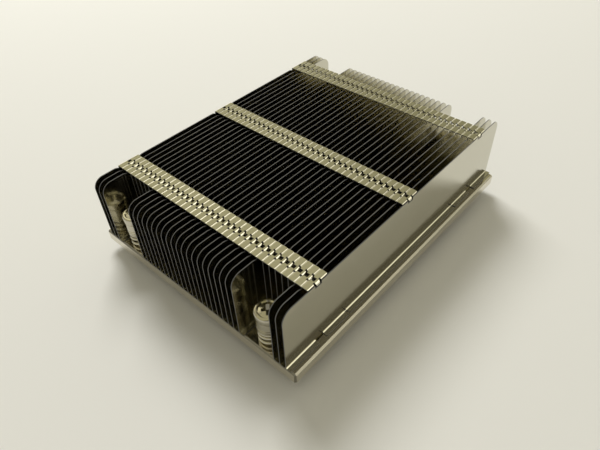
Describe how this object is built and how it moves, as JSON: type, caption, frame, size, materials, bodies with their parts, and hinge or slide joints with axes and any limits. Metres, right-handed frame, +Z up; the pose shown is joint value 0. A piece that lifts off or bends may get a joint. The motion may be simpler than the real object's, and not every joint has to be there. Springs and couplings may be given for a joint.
{
  "type": "passive server cpu heatsink",
  "caption": "Passive processor heatsink: folded aluminium fins, hooked together in rows, on a flat base plate with sprung captive screws at the corners.",
  "frame": {"origin": "centre of the base plate's contact face", "axes": "+X across the fins, +Y along the fins and the air flow, +Z up from the contact face through the fins"},
  "size_m": [0.0816, 0.1034, 0.0294],
  "materials": {
    "fin_sheet": "bright rolled sheet",
    "base_metal": "satin plated",
    "screw_plating": "bright nickel plate",
    "spring_wire": "bright nickel plate",
    "ring_steel": "plain spring steel"
  },
  "bodies": {
    "heatsink": {"fin_01": "fin_sheet", "fin_02": "fin_sheet", "fin_03": "fin_sheet", "fin_04": "fin_sheet", "fin_05": "fin_sheet", "fin_06": "fin_sheet", "fin_07": "fin_sheet", "fin_08": "fin_sheet", "fin_09": "fin_sheet", "fin_10": "fin_sheet", "fin_11": "fin_sheet", "fin_12": "fin_sheet", "fin_13": "fin_sheet", "fin_14": "fin_sheet", "fin_15": "fin_sheet", "fin_16": "fin_sheet", "fin_17": "fin_sheet", "fin_18": "fin_sheet", "fin_19": "fin_sheet", "fin_20": "fin_sheet", "fin_21": "fin_sheet", "fin_22": "fin_sheet", "fin_23": "fin_sheet", "fin_24": "fin_sheet", "fin_25": "fin_sheet", "fin_26": "fin_sheet", "fin_27": "fin_sheet", "fin_28": "fin_sheet", "fin_29": "fin_sheet", "fin_30": "fin_sheet", "fin_31": "fin_sheet", "fin_32": "fin_sheet", "fin_33": "fin_sheet", "fin_34": "fin_sheet", "fin_35": "fin_sheet", "fin_36": "fin_sheet", "fin_37": "fin_sheet", "base_plate": "base_metal", "spring_front_left": "spring_wire", "spring_front_right": "spring_wire", "spring_rear_left": "spring_wire", "spring_rear_right": "spring_wire"},
    "ring_front_left": {"retaining_ring_front_left": "ring_steel"},
    "screw_front_left": {"screw_front_left": "screw_plating"},
    "ring_front_right": {"retaining_ring_front_right": "ring_steel"},
    "screw_front_right": {"screw_front_right": "screw_plating"},
    "ring_rear_left": {"retaining_ring_rear_left": "ring_steel"},
    "screw_rear_left": {"screw_rear_left": "screw_plating"},
    "ring_rear_right": {"retaining_ring_rear_right": "ring_steel"},
    "screw_rear_right": {"screw_rear_right": "screw_plating"}
  },
  "joints": [
    {"name": "press_front_left", "type": "slide", "parent": "heatsink", "child": "ring_front_left", "axis": [0, 0, -1], "range_m": [0, 0.0019], "stiffness_N_per_m": 2000, "springref_m": -0.002, "deforming": ["spring_front_left"]},
    {"name": "turn_front_left", "type": "hinge", "parent": "ring_front_left", "child": "screw_front_left", "pos_m": [-0.028, -0.047, 0], "axis": [0, 0, 1], "continuous": true},
    {"name": "press_front_right", "type": "slide", "parent": "heatsink", "child": "ring_front_right", "axis": [0, 0, -1], "range_m": [0, 0.0019], "stiffness_N_per_m": 2000, "springref_m": -0.002, "deforming": ["spring_front_right"]},
    {"name": "turn_front_right", "type": "hinge", "parent": "ring_front_right", "child": "screw_front_right", "pos_m": [0.028, -0.047, 0], "axis": [0, 0, 1], "continuous": true},
    {"name": "press_rear_left", "type": "slide", "parent": "heatsink", "child": "ring_rear_left", "axis": [0, 0, -1], "range_m": [0, 0.0019], "stiffness_N_per_m": 2000, "springref_m": -0.002, "deforming": ["spring_rear_left"]},
    {"name": "turn_rear_left", "type": "hinge", "parent": "ring_rear_left", "child": "screw_rear_left", "pos_m": [-0.028, 0.047, 0], "axis": [0, 0, 1], "continuous": true},
    {"name": "press_rear_right", "type": "slide", "parent": "heatsink", "child": "ring_rear_right", "axis": [0, 0, -1], "range_m": [0, 0.0019], "stiffness_N_per_m": 2000, "springref_m": -0.002, "deforming": ["spring_rear_right"]},
    {"name": "turn_rear_right", "type": "hinge", "parent": "ring_rear_right", "child": "screw_rear_right", "pos_m": [0.028, 0.047, 0], "axis": [0, 0, 1], "continuous": true}
  ]
}
